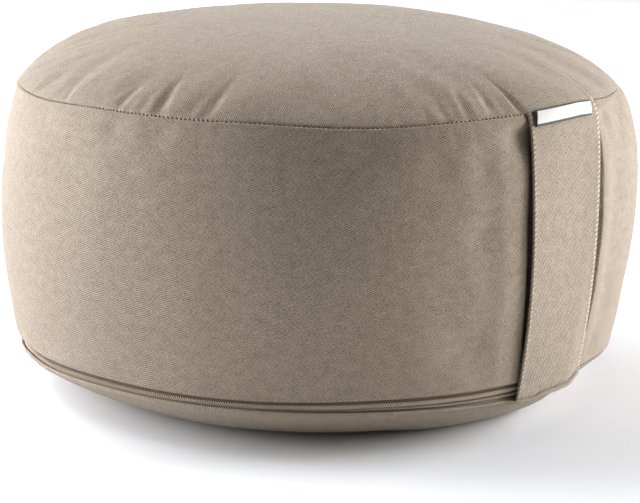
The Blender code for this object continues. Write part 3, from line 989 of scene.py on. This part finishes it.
def weave_round(sides, lifts, along):
    """The weave's coordinates on a band: round its section, and along it."""
    ring = np.append(np.stack([sides, lifts]), [[sides[0]], [lifts[0]]], axis=1)
    steps = np.hypot(*np.diff(ring, axis=1))
    around = np.concatenate([[0.0], np.cumsum(steps)]) + sides[0]
    return pair(around, along[:, None])


def warp_along(weave):
    """The weave's coordinates on a band, turned so that the warp runs along it."""
    return weave[..., ::-1] * np.array((1.0, -1.0))


def roped(points, sides, lifts, length):
    """The strap's points with its rolled edges pulled into slanting strands, like a rope's."""
    from_edge = (STRAP_WIDTH / 2.0 - np.abs(sides)) / STRAP_THICK
    roll = 1.0 - ease(from_edge / ROPE_REACH)
    turn = np.arctan2(lifts - STRAP_THICK / 2.0, strap_half - np.abs(sides)) * np.sign(sides)
    strand = np.cos(2.0 * math.pi * length[:, None] / ROPE_PITCH + ROPE_TWIST * turn)
    around = np.roll(points, -1, axis=1) - np.roll(points, 1, axis=1)
    ahead = np.gradient(points, axis=0)
    out = np.cross(ahead, around)
    out /= np.linalg.norm(out, axis=-1, keepdims=True)
    return moved(points, out, ROPE_DEPTH * (strand - 1.0) * roll)


strap_sides, strap_lifts = folded_section(
    STRAP_WIDTH, STRAP_THICK, STRAP_MIDDLE_THICK, STRAP_ACROSS
)
strap_shares = np.linspace(0.0, 1.0, STRAP_ROWS)
strap_grid = np.broadcast_arrays(strap_sides, strap_shares[:, None], strap_lifts)
strap_points = strap_point(*strap_grid)
strap_length = run_along(strap_points).mean(axis=1)
strap_half = STRAP_WIDTH / 2.0 - STRAP_THICK / 2.0
strap_points = roped(strap_points, strap_sides, strap_lifts, strap_length)
strap_weave = warp_along(weave_round(strap_sides, strap_lifts, -strap_length))
strap = quad_mesh("strap", strap_points, [strap_weave])
inner_fold = float(strap_weave[0, -1, 1]) + strap_half
strap_folds = (strap_half, -strap_half, inner_fold)
strap.data.materials.append(twill("strap_twill_cloth", CLOTH_DARK, CLOTH_LIGHT, strap_folds))
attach(strap, "root")
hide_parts("carry_strap")

# ---- Label ----
# A short length of satin ribbon, folded up double and caught in the top seam over the strap. It
# is plain: an off-white field inside a narrow dark edge.
LABEL_WIDTH = 0.0420
LABEL_DROP = 0.0066
LABEL_PLY = 0.00040
LABEL_FOLD = 0.00022
LABEL_SKEW = 0.30
LABEL_SHIFT = 0.0011
LABEL_ROWS = 60
LABEL_DOWN = 12
LABEL_TURNS = 5
LABEL_LOW_EDGE = 0.0008
LABEL_SIDE_EDGE = 0.0003
LABEL_TOP_EDGE = 0.0005
SATIN_LUMPS = (600.0, 5200.0, 1.0)
SATIN_DEPTH = 0.00006
SATIN_ROUGHNESS = 0.55
SATIN_SHEEN = 0.1
SATIN_LIGHT = (0.63, 0.617, 0.575, 1.0)
SATIN_DULL = (0.57, 0.557, 0.515, 1.0)
SATIN_EDGE = (0.035, 0.038, 0.040, 1.0)


def ribbon_section():
    """Section of the ribbon folded up double: distances down and outwards, closed round."""
    outer = LABEL_FOLD / 2.0 + LABEL_PLY
    run = np.linspace(0.0, LABEL_DROP - outer, LABEL_DOWN)
    swing = np.linspace(math.pi / 2.0, -math.pi / 2.0, LABEL_TURNS + 2)[1:-1]
    level = np.full(LABEL_DOWN, outer)
    downs, lifts = [], []
    for radius in (outer, LABEL_FOLD / 2.0):
        bend_down, bend_lift = np.cos(swing) * radius, np.sin(swing) * radius
        downs.append(np.concatenate([run, LABEL_DROP - outer + bend_down, run[::-1]]))
        lifts.append(np.concatenate([level + radius, outer + bend_lift, level - radius]))
    return np.append(downs[0], downs[1][::-1]), np.append(lifts[0], lifts[1][::-1])


label_downs, label_lifts = ribbon_section()
label_lifts = label_lifts + STRAP_THICK + CLEARANCE
label_shares = label_downs / (TOP_SEAM_HEIGHT - BASE_SEAM_HEIGHT)
label_sides = np.linspace(-LABEL_WIDTH / 2.0, LABEL_WIDTH / 2.0, LABEL_ROWS)
hang = label_sides[:, None] - LABEL_SHIFT - LABEL_SKEW * label_downs
label_points = strap_point(*np.broadcast_arrays(hang, label_shares, label_lifts))
label_weave = warp_along(weave_round(label_downs, label_lifts, label_sides))
label = quad_mesh("ribbon_label", label_points, [label_weave])

satin, satin_shader, satin_start = new_material("label_satin", SATIN_ROUGHNESS, SATIN_SHEEN)
ribbon = satin_start.node("UVMap", uv_map="weave")
side, up = ribbon.parts()
side_edge = side.of("ABSOLUTE").of("GREATER_THAN", LABEL_WIDTH / 2.0 - LABEL_SIDE_EDGE)
low_edge = up.of("LESS_THAN", LABEL_LOW_EDGE - LABEL_DROP)
top_edge = up.of("GREATER_THAN", -LABEL_TOP_EDGE)
border = side_edge.of("MAXIMUM", low_edge).of("MAXIMUM", top_edge)
satin_yarn = ribbon.noise(SATIN_LUMPS, 2.0)
field = satin_yarn.blend(SATIN_DULL, SATIN_LIGHT)
feed(satin_shader, "Base Color", border.blend(field, SATIN_EDGE))
satin_bump = {"Height": satin_yarn, "Distance": SATIN_DEPTH}
feed(satin_shader, "Normal", satin_start.node("Bump", satin_bump))
label.data.materials.append(satin)
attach(label, "root")
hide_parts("label")

# ---- Zip tape ----
# The zip's woven tape lies on the floor of the recess in the lower seam. Its colours are its own
# brown, darkened further as painted shade of the recess.
TAPE_WIDTH = 0.0048
TAPE_MIDDLE = -0.00035
TAPE_RISE = 0.0004
TAPE_THICK = 0.0009
TAPE_SHORT = (0.6, 0.2)
TAPE_ROWS = 340
TAPE_ACROSS = 6
RECESS_DEPTH = 0.0034
# Painted shade: the tape's own brown, darkened for the shade in the recess.
SHADED_TAPE_DARK = (0.070, 0.052, 0.036, 1.0)
SHADED_TAPE_LIGHT = (0.190, 0.150, 0.112, 1.0)


def recess_point(bearing, across, lift):
    """Points in the zip's recess: `across` down from its middle line, `lift` off its floor."""
    point = moved(base_seam_line(bearing), BASE_DOWN, across)
    return place(bearing, moved(point, BASE_OUT, lift - RECESS_DEPTH))


tape_bearings = np.linspace(ZIP_START + TAPE_SHORT[0], ZIP_END - TAPE_SHORT[1], TAPE_ROWS)
tape_across, tape_lifts = folded_section(TAPE_WIDTH, TAPE_THICK, TAPE_THICK, TAPE_ACROSS)
tape_grid = np.broadcast_arrays(
    tape_bearings[:, None], tape_across[::-1] + TAPE_MIDDLE, tape_lifts[::-1] + TAPE_RISE
)
tape_points = recess_point(*tape_grid)
tape_length = run_along(tape_points).mean(axis=1)
tape_weave = weave_round(tape_across, tape_lifts, tape_length)
tape = quad_mesh("tape", tape_points, [tape_weave])
tape.data.materials.append(twill("tape_weave", SHADED_TAPE_DARK, SHADED_TAPE_LIGHT))
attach(tape, "root")
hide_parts("zip_tape")

# ---- Zip coil ----
# The closed coil is one turn of nylon after another across the zip, each a low slanting arch,
# with a row of chain stitches below it that sews it to its tape.
COIL_SHORT = (0.8, 0.4)
COIL_PITCH = 0.00122
COIL_WIDTH = 0.0024
COIL_HEIGHT = 0.00045
COIL_WIRE = 0.00026
COIL_TURN = 37.0
COIL_MIDDLE = -0.0003
COIL_ROUGHNESS = 0.35
COIL_DARK = (0.50, 0.395, 0.295, 1.0)
COIL_LIGHT = (0.88, 0.73, 0.56, 1.0)
CHAIN_WIDTH = 0.0011
CHAIN_HEIGHT = 0.0004
CHAIN_WIRE = 0.00025
CHAIN_MIDDLE = 0.0012
CHAIN_WITH_EDGE = 0.3
WIRE_RING = 12
WIRE_SIDES = 6
MOTTLE_LUMPS = (900.0, 900.0, 900.0)
MOTTLE_DEPTH = 0.00005


def wire_turn(name, width, height, wire, turned):
    """One low arch of wire over the origin: half a ring, squashed, and turned in plan."""
    middle = (0.0, 0.0, 0.0)
    bpy.ops.object.select_all(action="DESELECT")
    bpy.ops.mesh.primitive_torus_add(
        major_segments=WIRE_RING, minor_segments=WIRE_SIDES,
        major_radius=width / 2.0, minor_radius=wire,
        rotation=(0.0, math.radians(90.0), math.radians(turned)),
    )
    arch = bpy.context.object
    arch.name = name
    bpy.ops.object.mode_set(mode="EDIT")
    bpy.ops.mesh.select_all(action="SELECT")
    bpy.ops.mesh.bisect(plane_co=middle, plane_no=(0.0, 0.0, 1.0), use_fill=True, clear_inner=True)
    bpy.ops.mesh.select_all(action="SELECT")
    bpy.ops.transform.resize(value=(1.0, 1.0, 2.0 * height / width), center_override=middle)
    bpy.ops.mesh.normals_make_consistent(inside=False)
    bpy.ops.object.mode_set(mode="OBJECT")
    bpy.ops.object.transform_apply(location=True, rotation=True, scale=True)
    bpy.ops.object.shade_smooth()
    return arch


def set_along(piece, spots, along, across, out):
    """Copies of a small piece at each spot, on its own three axes, joined into one."""
    copies = []
    for spot, *axes in zip(spots, along, across, out):
        copy = piece.copy()
        copy.data = piece.data.copy()
        turned = Matrix([list(axis) for axis in axes]).transposed().to_4x4()
        turned.translation = spot
        copy.data.transform(turned)
        bpy.context.scene.collection.objects.link(copy)
        copies.append(copy)
    name = piece.name
    bpy.data.meshes.remove(piece.data)
    bpy.ops.object.select_all(action="DESELECT")
    for copy in copies:
        copy.select_set(True)
    bpy.context.view_layer.objects.active = copies[0]
    bpy.ops.object.join()
    copies[0].name = name
    return copies[0]


def axes_at(bearing, tilt):
    """World axes on a seam: along it, down across it, and out of it."""
    normal, down = seam_axes(tilt)
    return direction(bearing + 90.0), place(bearing, down), place(bearing, normal)


def dyed(name, dark, light, roughness):
    """Dyed nylon or thread, a little lighter and darker from turn to turn."""
    made, shader, start = new_material(name, roughness, 0.0)
    mottle = start.node("TexCoord", output=3).noise(MOTTLE_LUMPS, 2.0)
    feed(shader, "Base Color", mottle.blend(dark, light))
    feed(shader, "Normal", start.node("Bump", {"Height": mottle, "Distance": MOTTLE_DEPTH}))
    return made


zip_length = math.radians(ZIP_END - ZIP_START) * BASE_SEAM_RADIUS
coil_count = round(zip_length / COIL_PITCH)
coil_bearings = np.linspace(ZIP_START + COIL_SHORT[0], ZIP_END - COIL_SHORT[1], coil_count)
coil_across = np.full(coil_count, COIL_MIDDLE)
coil_lift = np.full(coil_count, TAPE_RISE + TAPE_THICK + COIL_WIRE / 2.0)
coil_at = recess_point(coil_bearings, coil_across, coil_lift)
chain_across = CHAIN_MIDDLE + CHAIN_WITH_EDGE * edge_drop(coil_bearings)
chain_at = recess_point(coil_bearings, chain_across, coil_lift)
coil_axes = axes_at(coil_bearings, BASE_SEAM_TILT)
coil = wire_turn("coil", COIL_WIDTH, COIL_HEIGHT, COIL_WIRE, -COIL_TURN)
coil = set_along(coil, coil_at, *coil_axes)
chain = wire_turn("coil_stitching", CHAIN_WIDTH, CHAIN_HEIGHT, CHAIN_WIRE, COIL_TURN)
chain = set_along(chain, chain_at, *coil_axes)
coil_nylon = dyed("coil_nylon", COIL_DARK, COIL_LIGHT, COIL_ROUGHNESS)
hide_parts("zip_coil")
for piece in (coil, chain):
    piece.data.materials.append(coil_nylon)
    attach(piece, "root")

# ---- Seam thread ----
# The lockstitch that shows as short bars across both seams: all round the top seam, and round the
# lower seam where there is no zip. It is thread of the cloth's own colour.
STITCH_PITCH = 0.0022
STITCH_WIDTH = 0.0012
STITCH_HEIGHT = 0.0005
STITCH_WIRE = 0.00040
STITCH_TURN = -17.0
STITCH_SINK = -0.00058
STITCH_GAPE_SINK = 0.0004
STITCH_CLEAR = 1.0
THREAD_ROUGHNESS = 0.8
THREAD_DARK = (0.36, 0.295, 0.22, 1.0)
THREAD_LIGHT = (0.54, 0.455, 0.36, 1.0)

top_count = round(2.0 * math.pi * TOP_SEAM_RADIUS / STITCH_PITCH)
top_bearings = np.arange(top_count) * FULL_TURN / top_count
gape = window(top_bearings, GAPE_MIDDLE, GAPE_FLAT, GAPE_FADE)
sink = STITCH_SINK - STITCH_GAPE_SINK * gape
top_at = place(top_bearings, moved(top_seam_line(top_bearings), TOP_OUT, sink))

plain_count = round(top_count * (FULL_TURN - (ZIP_END - ZIP_START)) / FULL_TURN)
plain_start, plain_end = ZIP_END + STITCH_CLEAR, ZIP_START + FULL_TURN - STITCH_CLEAR
plain_bearings = np.linspace(plain_start, plain_end, plain_count)
plain_drop = (ZIP_MOUTH - SEAM_MOUTH) / 2.0 + edge_drop(plain_bearings)
plain_line = moved(base_seam_line(plain_bearings), BASE_DOWN, plain_drop)
plain_at = place(plain_bearings, plain_line + BASE_OUT * STITCH_SINK)

seam_thread = dyed("seam_thread", THREAD_DARK, THREAD_LIGHT, THREAD_ROUGHNESS)
for thread_name, spots, where, tilt in (
    ("top_stitches", top_at, top_bearings, TOP_SEAM_TILT),
    ("lower_stitches", plain_at, plain_bearings, BASE_SEAM_TILT),
):
    stitch = wire_turn(thread_name, STITCH_WIDTH, STITCH_HEIGHT, STITCH_WIRE, STITCH_TURN)
    stitches = set_along(stitch, spots, *axes_at(where, tilt))
    stitches.data.materials.append(seam_thread)
    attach(stitches, "root")
